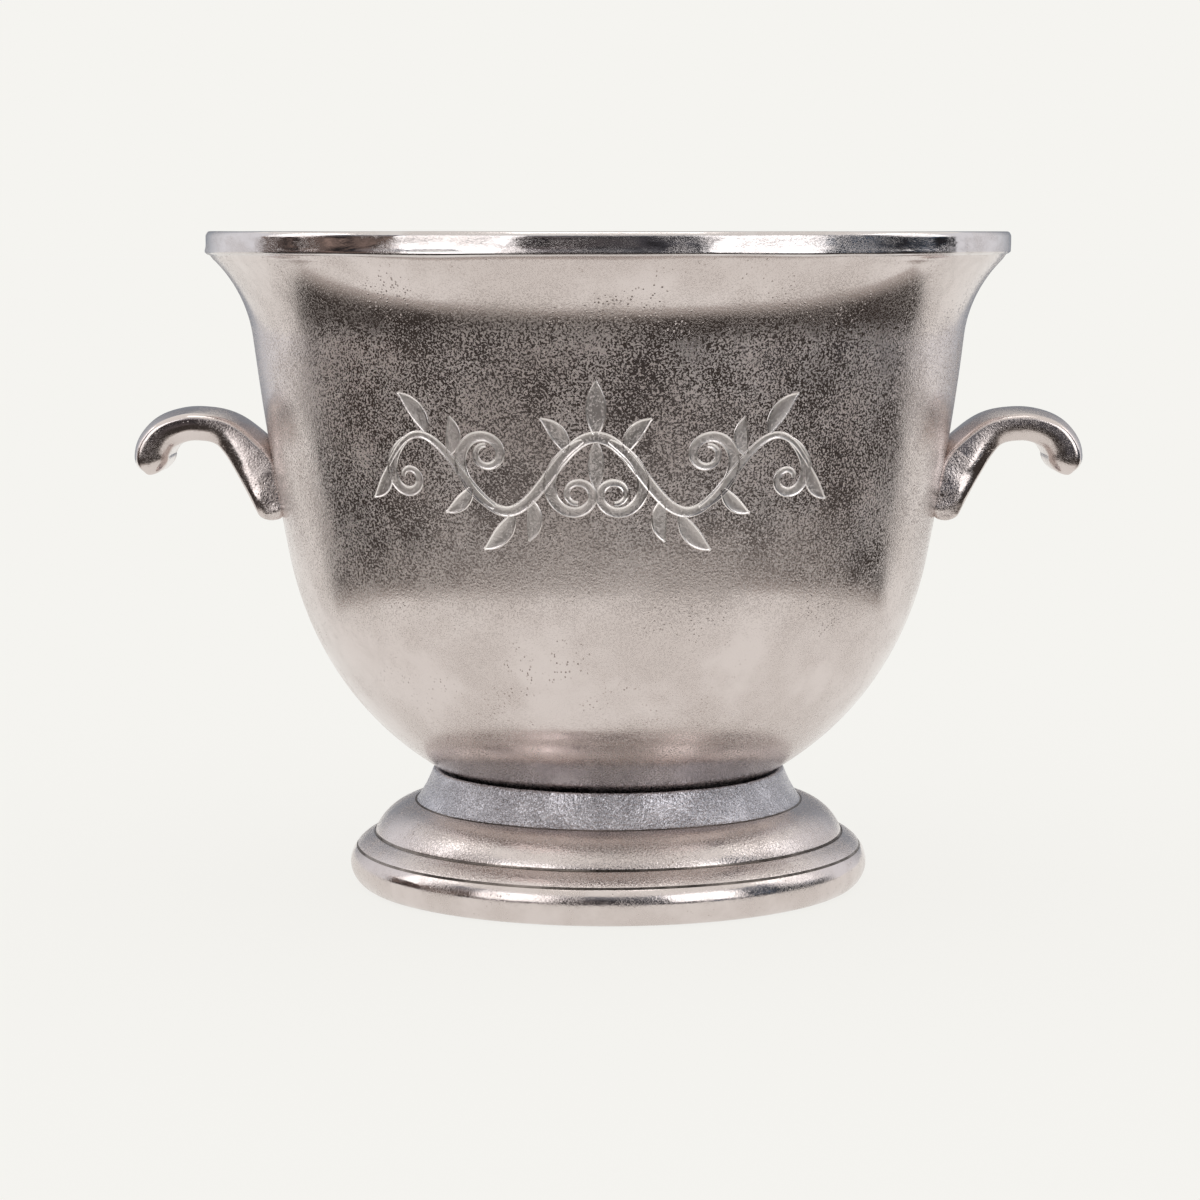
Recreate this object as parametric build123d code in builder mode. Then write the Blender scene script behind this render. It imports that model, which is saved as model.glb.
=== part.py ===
from build123d import *
from math import acos, asin, cos, degrees, radians, sin
import os

# Champagne bucket: a cast bowl bolted on a cast hollow foot, with two hook
# handles screwed to its wall. Millimetres. +Z is up, and the origin is the
# middle of the foot's flat base. The handles lie along X; the front is -Y.

os.makedirs("parts", exist_ok=True)

# Bowl. Its side is three tangent arcs, from the crease under the lip downwards:
# the flare (hollow outside), the wall (nearly straight) and the belly.
# Angles are of the outside surface from the vertical.
bucket_height = 245.5
lip_radius = 150.3
lip_inner_radius = 142.8
lip_edge_radius = 2.0
lip_band_bottom = 238.2
lip_under_radius = 1.7
crease_radius = 148.4
crease_height = 236.5
flare_top_angle = 48
flare_radius = 48
wall_top_angle = 7
wall_radius = 1205
belly_top_angle = 11
belly_radius = 120
bowl_wall = 4.5
bowl_base_height = 39.0
bowl_floor_height = bowl_base_height + bowl_wall

# Foot
seam_gap = 0.7
neck_top_radius = 66.2
neck_top_height = 43.8
neck_waist_radius = 69.0
neck_waist_height = 37.2
neck_foot_radius = 72.8
neck_foot_height = 31.0
ridge_radius = 74.0
ovolo_middle = (82.8, 27.0)
ovolo_bottom = (88.4, 19.6)
crease_bottom = (88.2, 18.8)
band_top = (89.4, 18.7)
band_middle = (92.9, 16.8)
band_bottom = (95.5, 14.5)
groove = (95.2, 14.0)
base_ring_top = (95.8, 13.7)
base_ring_middle = (98.1, 8.3)
base_edge_radius = 93.2
base_inner_radius = 86.5
deck_thickness = 5.0
deck_underside = bowl_base_height - deck_thickness
boss_radius = 15.0
boss_depth = 3.0
boss_underside = deck_underside - boss_depth

# Bolt, nut and washers that hold the bowl on the foot
bolt_radius = 5.0
bolt_hole_radius = 5.3
bolt_head_radius = 9.5
bolt_head_height = 5.5
bolt_dome_radius = 12.3
bolt_socket_radius = 3.4
bolt_socket_depth = 3.2
bolt_end_height = 16.0
seal_washer_radius = 13.0
seal_washer_thickness = 1.5
foot_washer_radius = 12.5
foot_washer_thickness = 2.0
nut_radius = 9.8
nut_height = 8.0
nut_hole_radius = 5.05

# Handles: a strap bent to a hook, wider at its root. The blank starts inside the
# wall and is cut back to the wall's outside. Points are (distance out, height).
strap_width = 32.0
root_width = 46.0
strap_edge_radius = 2.5
blank_start = 112.0
blank_end = 190.0
root_bottom = (128.4, 136.2)
back_top = (134.6, 150.8)
underside_points = [(143.2, 163.5), (153.8, 167.9), (161.8, 166.8), (165.9, 162.8)]
hook_inside = (167.0, 158.2)
hook_tip = (171.9, 154.6)
hook_outside = (176.9, 158.2)
root_top = (112.0, 148.5)
crown_points = [(128.5, 170.0), (140.0, 177.6), (153.0, 180.2), (170.0, 176.5), (178.6, 164.0)]
flare_start = 124.0
flare_end = 152.0

# Screws that hold the handles, normal to the wall, two in each handle
screw_height = 158.0
screw_half_turn = 5.5
screw_radius = 2.45
tapped_hole_radius = 2.5
tapped_hole_depth = 7.0
wall_hole_radius = 2.8
screw_length = 10.5
screw_head_radius = 4.6
screw_head_height = 2.8
screw_dome_radius = 5.75
screw_socket_radius = 1.7
screw_socket_depth = 1.6
washer_radius = 5.6
washer_thickness = 1.0
spot_face_radius = 6.2
spot_face_depth = 0.25


def outward(angle):
    """Outward normal, in the (radius, height) plane, of a surface tilted by angle."""
    return Vector(cos(radians(angle)), -sin(radians(angle)))


crease = Vector(crease_radius, crease_height)
flare_centre = crease + outward(flare_top_angle) * flare_radius
wall_top = flare_centre - outward(wall_top_angle) * flare_radius
wall_centre = wall_top - outward(wall_top_angle) * wall_radius
belly_top = wall_centre + outward(belly_top_angle) * wall_radius
belly_centre = belly_top - outward(belly_top_angle) * belly_radius


def belly_angle(height, inset=0.0):
    """Tilt of the belly at this height, on the surface inset from the outside."""
    return degrees(asin((belly_centre.Y - height) / (belly_radius - inset)))


def belly_point(height, inset=0.0):
    """Point of the belly at this height, on the surface inset from the outside."""
    return belly_centre + outward(belly_angle(height, inset)) * (belly_radius - inset)


def side_arcs(inset, top_angle, bottom_height):
    """Start, middle and end of the side's three arcs, inset from the outside."""
    spans = [
        (flare_centre, -(flare_radius + inset), top_angle, wall_top_angle),
        (wall_centre, wall_radius - inset, wall_top_angle, belly_top_angle),
        (belly_centre, belly_radius - inset, belly_top_angle, belly_angle(bottom_height, inset)),
    ]
    arcs = []
    for centre, radius, first, last in spans:
        middle = (first + last) / 2
        arcs.append([centre + outward(angle) * radius for angle in (first, middle, last)])
    return arcs


def screw_plane(turn):
    """Plane on the bowl's inner wall at a turn about Z, facing into the bowl."""
    radius = wall_radius - bowl_wall
    tilt = degrees(asin((wall_centre.Y - screw_height) / radius))
    spot = wall_centre + outward(tilt) * radius
    across = Vector(cos(radians(turn)), sin(radians(turn)), 0)
    normal = across * -cos(radians(tilt)) + Vector(0, 0, sin(radians(tilt)))
    return Plane(
        origin=across * spot.X + Vector(0, 0, spot.Y),
        x_dir=Vector(-across.Y, across.X, 0),
        z_dir=normal,
    )


def screw_section(plane):
    """Plane that holds the screw's axis: x runs along the axis, into the bowl."""
    return Plane(origin=plane.origin, x_dir=plane.z_dir, z_dir=plane.x_dir)


right_screws = [-screw_half_turn, screw_half_turn]
left_screws = [180 - screw_half_turn, 180 + screw_half_turn]
screw_planes = [screw_plane(turn) for turn in right_screws + left_screws]

# Bowl: the lip, the outer side, the flat base, and the same side inset by the wall.
lip_inner_angle = degrees(acos((flare_centre.X - lip_inner_radius) / (flare_radius + bowl_wall)))
outer_arcs = side_arcs(0, flare_top_angle, bowl_base_height)
inner_arcs = side_arcs(bowl_wall, lip_inner_angle, bowl_floor_height)
lip_top_outer = (lip_radius - lip_edge_radius, bucket_height)
lip_top_inner = (lip_inner_radius + lip_edge_radius, bucket_height)
lip_edge_height = bucket_height - lip_edge_radius

with BuildPart() as bowl:
    with BuildSketch(Plane.XZ):
        with BuildLine():
            Line((bolt_hole_radius, bowl_base_height), outer_arcs[-1][-1])
            for start, middle, end in outer_arcs:
                ThreePointArc(start, middle, end)
            RadiusArc(crease, (lip_radius, lip_band_bottom), -lip_under_radius)
            Line((lip_radius, lip_band_bottom), (lip_radius, lip_edge_height))
            RadiusArc((lip_radius, lip_edge_height), lip_top_outer, -lip_edge_radius)
            Line(lip_top_outer, lip_top_inner)
            RadiusArc(lip_top_inner, (lip_inner_radius, lip_edge_height), -lip_edge_radius)
            Line((lip_inner_radius, lip_edge_height), inner_arcs[0][0])
            for start, middle, end in inner_arcs:
                ThreePointArc(start, middle, end)
            Line(inner_arcs[-1][-1], (bolt_hole_radius, bowl_floor_height))
            Line((bolt_hole_radius, bowl_floor_height), (bolt_hole_radius, bowl_base_height))
        make_face()
    revolve(axis=Axis.Z)
    for plane in screw_planes:
        with BuildSketch(plane.offset(-spot_face_depth)):
            Circle(spot_face_radius)
        extrude(amount=spot_face_radius, mode=Mode.SUBTRACT)
        with BuildSketch(plane):
            Circle(wall_hole_radius)
        extrude(amount=-2 * bowl_wall, mode=Mode.SUBTRACT)
bowl.part.label = "bowl"

# Foot: its top follows the belly, one seam gap below it, down to the flat deck.
seat_middle = belly_point((neck_top_height + bowl_base_height) / 2, -seam_gap)

with BuildPart() as foot:
    with BuildSketch(Plane.XZ):
        with BuildLine():
            Line((bolt_hole_radius, bowl_base_height), belly_point(bowl_base_height, -seam_gap))
            ThreePointArc(
                belly_point(bowl_base_height, -seam_gap),
                seat_middle,
                belly_point(neck_top_height, -seam_gap),
            )
            Line(belly_point(neck_top_height, -seam_gap), (neck_top_radius, neck_top_height))
            ThreePointArc(
                (neck_top_radius, neck_top_height),
                (neck_waist_radius, neck_waist_height),
                (neck_foot_radius, neck_foot_height),
            )
            Line((neck_foot_radius, neck_foot_height), (ridge_radius, neck_foot_height))
            ThreePointArc((ridge_radius, neck_foot_height), ovolo_middle, ovolo_bottom)
            Polyline(ovolo_bottom, crease_bottom, band_top)
            ThreePointArc(band_top, band_middle, band_bottom)
            Polyline(band_bottom, groove, base_ring_top)
            ThreePointArc(base_ring_top, base_ring_middle, (base_edge_radius, 0))
            Polyline(
                (base_edge_radius, 0),
                (base_inner_radius, 0),
                (89.0, 8.5),
                (84.0, 17.0),
                (78.0, 23.5),
                (69.5, 26.5),
                (65.5, deck_underside),
                (boss_radius + boss_depth, deck_underside),
                (boss_radius, boss_underside),
                (bolt_hole_radius, boss_underside),
                (bolt_hole_radius, bowl_base_height),
            )
        make_face()
    revolve(axis=Axis.Z)
foot.part.label = "foot"

# The bowl's outside as a solid plug, for fitting the handles to the wall.
with BuildPart() as bowl_plug:
    with BuildSketch(Plane.XZ):
        with BuildLine():
            for start, middle, end in outer_arcs:
                ThreePointArc(start, middle, end)
            Polyline(
                outer_arcs[-1][-1],
                (0, bowl_base_height),
                (0, crease_height),
                (crease_radius, crease_height),
            )
        make_face()
    revolve(axis=Axis.Z)


def handle_part():
    """Right-hand handle: a hooked strap cut to its width, then fitted to the wall."""
    with BuildPart() as handle:
        with BuildSketch(Plane.XZ):
            with BuildLine():
                base = Line((blank_start, root_bottom[1]), root_bottom)
                last = Line(root_bottom, back_top)
                for point in underside_points:
                    last = TangentArc(last @ 1, point, tangent=last % 1)
                Line(last @ 1, hook_inside)
                ThreePointArc(hook_inside, hook_tip, hook_outside)
                last = TangentArc(root_top, crown_points[0], tangent=(0.5, 1))
                Line(root_top, base @ 0)
                for point in crown_points[1:] + [hook_outside]:
                    last = TangentArc(last @ 1, point, tangent=last % 1)
            make_face()
        extrude(amount=root_width / 2, both=True)
        with BuildSketch(Plane.XY.offset(bucket_height)):
            with BuildLine():
                Polyline((blank_end, 0), (blank_end, -strap_width / 2), (flare_end, -strap_width / 2))
                flare = TangentArc(
                    (flare_end, -strap_width / 2), (flare_start, -root_width / 2), tangent=(-1, 0)
                )
                Line(flare @ 1, (blank_start, -root_width / 2))
                mirror(about=Plane.XZ)
                Line((blank_start, -root_width / 2), (blank_start, root_width / 2))
            make_face()
        extrude(amount=-bucket_height, mode=Mode.INTERSECT)
        free_edges = handle.edges().filter_by_position(Axis.X, flare_start + 4, blank_end)
        sides = free_edges.filter_by(lambda edge: abs(edge.center().Y) > strap_width / 2 - 1)
        fillet(sides, strap_edge_radius)
        add(bowl_plug.part, mode=Mode.SUBTRACT)
        with Locations(*[screw_plane(turn) for turn in right_screws]):
            Hole(tapped_hole_radius, depth=bowl_wall + tapped_hole_depth)
    return handle.part


handles = {"right": handle_part(), "left": handle_part().rotate(Axis.Z, 180)}
for side, handle in handles.items():
    handle.label = f"handle_{side}"

# Bolt down the middle, its washers and its nut
head_height = bowl_floor_height + seal_washer_thickness
head_top = head_height + bolt_head_height
with BuildPart() as foot_bolt:
    with BuildSketch(Plane.XZ):
        with BuildLine():
            Line((0, bolt_end_height), (bolt_radius - 1, bolt_end_height))
            Line((bolt_radius - 1, bolt_end_height), (bolt_radius, bolt_end_height + 1))
            Line((bolt_radius, bolt_end_height + 1), (bolt_radius, head_height))
            Line((bolt_radius, head_height), (bolt_head_radius, head_height))
            Line((bolt_head_radius, head_height), (bolt_head_radius, head_height + 1))
            RadiusArc((bolt_head_radius, head_height + 1), (0, head_top), -bolt_dome_radius)
            Line((0, head_top), (0, bolt_end_height))
        make_face()
    revolve(axis=Axis.Z)
    with BuildSketch(Plane.XY.offset(head_top)):
        RegularPolygon(bolt_socket_radius, 6)
    extrude(amount=-bolt_socket_depth, mode=Mode.SUBTRACT)
foot_bolt.part.label = "foot_bolt"

with BuildPart() as bowl_seal_washer:
    with BuildSketch(Plane.XY.offset(bowl_floor_height)):
        Circle(seal_washer_radius)
        Circle(bolt_hole_radius, mode=Mode.SUBTRACT)
    extrude(amount=seal_washer_thickness)
bowl_seal_washer.part.label = "bowl_seal_washer"

with BuildPart() as foot_washer:
    with BuildSketch(Plane.XY.offset(boss_underside)):
        Circle(foot_washer_radius)
        Circle(bolt_hole_radius, mode=Mode.SUBTRACT)
    extrude(amount=-foot_washer_thickness)
    chamfer(foot_washer.faces().sort_by(Axis.Z)[0].edges().sort_by(SortBy.LENGTH)[-1], 0.5)
foot_washer.part.label = "foot_washer"

with BuildPart() as foot_nut:
    with BuildSketch(Plane.XY.offset(boss_underside - foot_washer_thickness)):
        RegularPolygon(nut_radius, 6)
        Circle(nut_hole_radius, mode=Mode.SUBTRACT)
    extrude(amount=-nut_height)
    chamfer(foot_nut.faces().sort_by(Axis.Z)[0].edges().filter_by(GeomType.CIRCLE), 0.6)
foot_nut.part.label = "foot_nut"

# Handle screws and their sealing washers, one of each on every screw plane.
# Along a screw's axis, 0 is the inner wall and plus is into the bowl.
under_head = washer_thickness - spot_face_depth
screw_top = under_head + screw_head_height
with BuildPart() as handle_screws:
    for plane in screw_planes:
        with BuildSketch(screw_section(plane)):
            with BuildLine():
                Line((-screw_length, 0), (-screw_length, screw_radius - 0.6))
                Line((-screw_length, screw_radius - 0.6), (-screw_length + 0.6, screw_radius))
                Line((-screw_length + 0.6, screw_radius), (under_head, screw_radius))
                Line((under_head, screw_radius), (under_head, screw_head_radius))
                Line((under_head, screw_head_radius), (under_head + 0.5, screw_head_radius))
                RadiusArc((under_head + 0.5, screw_head_radius), (screw_top, 0), screw_dome_radius)
                Line((screw_top, 0), (-screw_length, 0))
            make_face()
        revolve(axis=Axis(plane.origin, plane.z_dir))
        with BuildSketch(plane.offset(screw_top)):
            RegularPolygon(screw_socket_radius, 6)
        extrude(amount=-screw_socket_depth, mode=Mode.SUBTRACT)
handle_screws.part.label = "handle_screws"

with BuildPart() as handle_screw_washers:
    for plane in screw_planes:
        with BuildSketch(plane.offset(-spot_face_depth)):
            Circle(washer_radius)
            Circle(wall_hole_radius, mode=Mode.SUBTRACT)
        extrude(amount=washer_thickness)
handle_screw_washers.part.label = "handle_screw_washers"

pieces = [
    bowl.part,
    foot.part,
    handles["left"],
    handles["right"],
    foot_bolt.part,
    bowl_seal_washer.part,
    foot_washer.part,
    foot_nut.part,
    handle_screws.part,
    handle_screw_washers.part,
]
for piece in pieces:
    export_step(piece, f"parts/{piece.label}.step")
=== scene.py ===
"""Footed champagne bucket: cast aluminium, nickel plated, dressed and lit.

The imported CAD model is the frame. The bowl, the foot and the two hook handles are
rebuilt here with the unevenness of a sand casting, and a scroll is chased into the
bowl's front. The bolt, nut, screws and washers keep their CAD shape and get their
own finishes. Sizes in the classes are millimetres; meshes are built in metres.
"""

import logging
from dataclasses import dataclass, field
from enum import Enum, IntEnum
from functools import partial
from math import acos, asin, atan2, ceil, cos, degrees, hypot, pi, radians, sin, sqrt

import bmesh
import bpy
import numpy as np
from mathutils import Matrix, Vector, noise


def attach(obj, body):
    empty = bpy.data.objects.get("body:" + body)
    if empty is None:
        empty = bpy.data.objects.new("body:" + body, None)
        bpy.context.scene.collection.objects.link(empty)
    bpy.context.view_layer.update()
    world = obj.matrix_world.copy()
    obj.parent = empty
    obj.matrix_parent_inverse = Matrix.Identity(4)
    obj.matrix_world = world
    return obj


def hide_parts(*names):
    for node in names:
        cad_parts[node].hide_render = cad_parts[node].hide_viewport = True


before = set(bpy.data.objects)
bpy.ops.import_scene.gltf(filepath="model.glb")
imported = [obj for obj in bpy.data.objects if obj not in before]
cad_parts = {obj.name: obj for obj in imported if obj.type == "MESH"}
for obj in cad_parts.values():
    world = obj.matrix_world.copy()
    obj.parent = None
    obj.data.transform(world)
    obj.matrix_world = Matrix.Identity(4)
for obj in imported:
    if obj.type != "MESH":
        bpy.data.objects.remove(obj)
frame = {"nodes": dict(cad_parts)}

MM = 0.001
BODY = "root"
log = logging.getLogger("champagne_bucket")

Flat = tuple[float, float]


def linear(code: str) -> tuple[float, float, float, float]:
    """Turns an sRGB hex colour into the linear values that the shaders take.

    Args:
        code: The colour, such as "#DDD3D0".

    Returns:
        Linear red, green, blue and an alpha of 1.
    """
    parts = [int(code[i : i + 2], 16) / 255 for i in (1, 3, 5)]
    scaled = [p / 12.92 if p <= 0.04045 else ((p + 0.055) / 1.055) ** 2.4 for p in parts]
    return (scaled[0], scaled[1], scaled[2], 1.0)


def per_metre(size_mm: float) -> float:
    """Texture scale whose features are about size_mm across."""
    return 1.0 / (size_mm * MM)


def add_node(
    tree: bpy.types.NodeTree, kind: str, inputs: dict | None = None, **settings: object
) -> bpy.types.Node:
    """Adds one node with its settings, values and links.

    Args:
        tree: The node tree that gets the node.
        kind: The node's Blender type, without "ShaderNode".
        inputs: Socket names or numbers, each with a value, or with the output linked
            to it. A node stands for its first output.
        settings: The node's own properties.

    Returns:
        The new node.
    """
    node = tree.nodes.new(f"ShaderNode{kind}")
    for key, value in settings.items():
        setattr(node, key, value)
    for key, value in (inputs or {}).items():
        source = value.outputs[0] if isinstance(value, bpy.types.Node) else value
        if isinstance(source, bpy.types.NodeSocket):
            tree.links.new(source, node.inputs[key])
        else:
            node.inputs[key].default_value = source
    return node


def empty_material(name: str) -> bpy.types.Material:
    """A material with nodes on and none in it yet."""
    material = bpy.data.materials.new(name)
    material.use_nodes = True
    material.node_tree.nodes.clear()
    return material


@dataclass(frozen=True)
class CastNickel:
    """Nickel plate over sand-cast aluminium.

    The plate copies the sand's grain, so the metal mirrors its surroundings broken
    up into light and dark specks. Buffing flattens the grain in broad patches and
    leaves groups of small pits. Nickel is slightly warmer than silver.
    """

    name: str = "cast_nickel"
    colour: str = "#DDD3D0"
    shade: str = "#B7AAA3"
    metallic: float = 1.0
    tarnish_share: float = 0.30
    smooth_roughness: float = 0.10
    worn_roughness: float = 0.16
    # Broad patches where the buffing wheel cut less, about a thumb's width.
    patch_mm: float = 36.0
    patch_from: float = 0.34
    patch_to: float = 0.62
    # Moulding sand is 0.2 to 0.5 mm; its grain clumps to specks near 1 mm.
    grain_mm: float = 0.80
    grain_depth_mm: float = 0.16
    buffed_grain_depth_mm: float = 0.05
    # The grain's hollows stay matt and scatter light. Sand grains are 0.2 to 0.5 mm;
    # the specks are drawn at 0.7 mm so they show, and are denser in broad patches.
    speck_mm: float = 0.7
    clump_mm: float = 22.0
    clump_share: float = 0.27
    speck_roughness: float = 0.80
    speck_from: float = 0.668
    speck_to: float = 0.70
    speck_depth_mm: float = 0.10
    speck_share: float = 1.0
    buffed_speck_share: float = 0.35
    # Gas pits are 0.5 to 1.5 mm and come in groups a few centimetres wide.
    pit_mm: float = 1.5
    pit_depth_mm: float = 0.20
    pit_group_mm: float = 26.0
    pit_from: float = 0.52
    pit_to: float = 0.66
    # Above 1, every feature is squashed to that share of its height.
    flatten: float = 1.0

    def height_mask(self, tree: bpy.types.NodeTree, place: bpy.types.NodeSocket) -> object:
        """How strong the grain is at each height; plain castings have it all over."""
        return 1.0

    def satin_mask(self, tree: bpy.types.NodeTree, place: bpy.types.NodeSocket) -> object:
        """Where the metal is brushed to a satin; plain castings have none."""
        return 0.0

    def material(self) -> bpy.types.Material:
        """Builds the finish.

        Returns:
            The new material.
        """
        material = empty_material(self.name)
        add = partial(add_node, material.node_tree)
        place = add(
            "VectorMath",
            {0: add("TexCoord").outputs["Object"], 1: (1.0, 1.0, self.flatten)},
            operation="MULTIPLY",
        )
        patches, grain, fine, clumps, groups = (
            add(
                "TexNoise",
                {"Vector": place, "Scale": per_metre(size), "Detail": detail, "Roughness": rough},
            )
            for size, detail, rough in (
                (self.patch_mm, 4.0, 0.60),
                (self.grain_mm, 2.0, 0.55),
                (self.speck_mm, 2.0, 0.70),
                (self.clump_mm, 4.0, 0.60),
                (self.pit_group_mm, 5.0, 0.65),
            )
        )
        worn = add(
            "MapRange",
            {"Value": patches, "From Min": self.patch_from, "From Max": self.patch_to},
            interpolation_type="SMOOTHSTEP",
        )
        satin = self.satin_mask(material.node_tree, place)

        # Grain: strong where worn, faint where buffed, in millimetres of depth.
        level = self.height_mask(material.node_tree, place)
        depth = add(
            "MapRange",
            {"Value": worn, "To Min": self.buffed_grain_depth_mm, "To Max": self.grain_depth_mm},
        )
        scaled_depth = add("Math", {0: depth, 1: level}, operation="MULTIPLY")
        grain_height = add("Math", {0: grain, 1: scaled_depth}, operation="MULTIPLY")

        # Hollows of the grain: matt specks, set a little deeper than the buffed tops.
        hollows = add("Math", {0: clumps, 1: self.clump_share, 2: fine}, operation="MULTIPLY_ADD")
        specks = add(
            "MapRange", {"Value": hollows, "From Min": self.speck_from, "From Max": self.speck_to}
        )
        speck_share = add(
            "MapRange", {"Value": worn, "To Min": self.buffed_speck_share, "To Max": self.speck_share}
        )
        speck_level = add("Math", {0: speck_share, 1: level}, operation="MULTIPLY")
        matt = add("Math", {0: specks, 1: speck_level}, operation="MULTIPLY")
        rough_height = add(
            "Math", {0: matt, 1: -self.speck_depth_mm, 2: grain_height}, operation="MULTIPLY_ADD"
        )

        # Pits: round dips in a share of the cells, only inside their groups.
        cells = add("TexVoronoi", {"Vector": place, "Scale": per_metre(self.pit_mm), "Randomness": 1.0})
        dip = add(
            "MapRange",
            {"Value": cells.outputs["Distance"], "From Min": 0.30, "From Max": 0.06},
            interpolation_type="SMOOTHSTEP",
        )
        in_group = add("MapRange", {"Value": groups, "From Min": self.pit_from, "From Max": self.pit_to})
        pits = add("Math", {0: dip, 1: in_group}, operation="MULTIPLY")
        height = add("Math", {0: pits, 1: -self.pit_depth_mm, 2: rough_height}, operation="MULTIPLY_ADD")
        normal = add("Bump", {"Height": height, "Distance": MM, "Strength": 1.0})

        # Roughness: the buffed face, the satin zone and the grain's matt hollows.
        rubbed = add(
            "MapRange", {"Value": worn, "To Min": self.smooth_roughness, "To Max": self.worn_roughness}
        )
        brushed = add("Math", {0: rubbed, 1: satin}, operation="ADD", use_clamp=True)
        roughness = add("Mix", {0: matt, 2: brushed, 3: self.speck_roughness}, data_type="FLOAT")

        # Pits are darkened as painted shade in the hollows; worn patches hold a little tarnish.
        pit_shade_and_tarnish = add(
            "Math", {0: worn, 1: self.tarnish_share, 2: pits}, operation="MULTIPLY_ADD", use_clamp=True
        )
        colour = add(
            "Mix", {0: pit_shade_and_tarnish, 6: linear(self.colour), 7: linear(self.shade)}, data_type="RGBA"
        ).outputs[2]
        surface = add(
            "BsdfPrincipled",
            {"Base Color": colour, "Metallic": self.metallic, "Roughness": roughness, "Normal": normal},
        )
        add("OutputMaterial", {"Surface": surface})
        return material


@dataclass(frozen=True)
class PolishedCastNickel(CastNickel):
    """The bowl's outside: buffed over the sand grain, satin round the chasing.

    The wall keeps its grain and glitters; the belly is smoother and only pitted.
    """

    name: str = "polished_cast_nickel"
    grain_from_mm: float = 105.0
    grain_to_mm: float = 160.0
    belly_grain: float = 0.30
    satin_centre_mm: tuple[float, float, float] = (-4.0, -118.0, 152.0)
    satin_reach_mm: tuple[float, float, float] = (88.0, 80.0, 38.0)
    satin_roughness: float = 0.10
    flare_from_mm: float = 204.0
    flare_to_mm: float = 217.0
    flare_grain: float = 0.22

    def height_mask(self, tree: bpy.types.NodeTree, place: bpy.types.NodeSocket) -> object:
        """Grain fades from the wall down to the belly, and up to the buffed flare.

        Args:
            tree: The finish's node tree.
            place: The surface's coordinates.

        Returns:
            The socket with the grain's share.
        """
        add = partial(add_node, tree)
        axes = add("SeparateXYZ", {0: place})
        fade = add(
            "MapRange",
            {
                "Value": axes.outputs["Z"],
                "From Min": self.grain_from_mm * MM,
                "From Max": self.grain_to_mm * MM,
                "To Min": self.belly_grain,
                "To Max": 1.0,
            },
            interpolation_type="SMOOTHSTEP",
        )
        flare = add(
            "MapRange",
            {
                "Value": axes.outputs["Z"],
                "From Min": self.flare_from_mm * MM,
                "From Max": self.flare_to_mm * MM,
                "To Min": 1.0,
                "To Max": self.flare_grain,
            },
            interpolation_type="SMOOTHSTEP",
        )
        return add("Math", {0: fade, 1: flare}, operation="MULTIPLY")

    def satin_mask(self, tree: bpy.types.NodeTree, place: bpy.types.NodeSocket) -> object:
        """Extra roughness in an oval round the chased scroll.

        Args:
            tree: The finish's node tree.
            place: The surface's coordinates.

        Returns:
            The socket with the added roughness.
        """
        add = partial(add_node, tree)
        offset = add(
            "VectorMath", {0: place, 1: [c * MM for c in self.satin_centre_mm]}, operation="SUBTRACT"
        )
        share = add(
            "VectorMath", {0: offset, 1: [r * MM for r in self.satin_reach_mm]}, operation="DIVIDE"
        )
        reach = add("VectorMath", {0: share}, operation="LENGTH").outputs["Value"]
        return add(
            "MapRange",
            {
                "Value": reach,
                "From Min": 1.25,
                "From Max": 0.45,
                "To Min": 0.0,
                "To Max": self.satin_roughness,
            },
            interpolation_type="SMOOTHSTEP",
        )


@dataclass(frozen=True)
class MirrorPolishedNickel(CastNickel):
    """The lip: taken to a mirror, so it shows hard streaks of light and dark."""

    name: str = "mirror_polished_nickel"
    colour: str = "#DDD7D6"
    smooth_roughness: float = 0.07
    worn_roughness: float = 0.17
    patch_mm: float = 16.0
    grain_mm: float = 3.0
    grain_depth_mm: float = 0.055
    buffed_grain_depth_mm: float = 0.020
    speck_roughness: float = 0.34
    speck_depth_mm: float = 0.010
    speck_share: float = 0.7
    buffed_speck_share: float = 0.0
    pit_depth_mm: float = 0.05
    pit_from: float = 0.60
    pit_to: float = 0.75
    # The wheel ran round the lip, so its streaks are longer than they are high.
    flatten: float = 2.6


@dataclass(frozen=True)
class SatinCastNickel(CastNickel):
    """The bowl's inside: plated over the blasted casting, a soft grey sheen."""

    name: str = "satin_cast_nickel"
    smooth_roughness: float = 0.26
    worn_roughness: float = 0.40
    grain_depth_mm: float = 0.10
    speck_share: float = 0.8
    pit_depth_mm: float = 0.10


@dataclass(frozen=True)
class PolishedMouldingNickel(CastNickel):
    """The base ring and the handles: bright, with pits that the wheel couldn't reach."""

    name: str = "polished_moulding_nickel"
    worn_roughness: float = 0.20
    patch_mm: float = 22.0
    grain_depth_mm: float = 0.05
    buffed_grain_depth_mm: float = 0.012
    speck_roughness: float = 0.36
    speck_depth_mm: float = 0.02
    speck_share: float = 0.6
    buffed_speck_share: float = 0.05
    pit_depth_mm: float = 0.14
    pit_group_mm: float = 15.0
    pit_from: float = 0.55


@dataclass(frozen=True)
class BrushedMouldingNickel(CastNickel):
    """The foot's upper mouldings and the handles' roots: only brushed, so they shine softly."""

    name: str = "brushed_moulding_nickel"
    smooth_roughness: float = 0.12
    worn_roughness: float = 0.19
    patch_mm: float = 24.0
    grain_depth_mm: float = 0.22
    buffed_grain_depth_mm: float = 0.10
    speck_roughness: float = 0.50
    speck_depth_mm: float = 0.07
    speck_share: float = 0.9
    pit_group_mm: float = 15.0
    pit_from: float = 0.55


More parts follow.
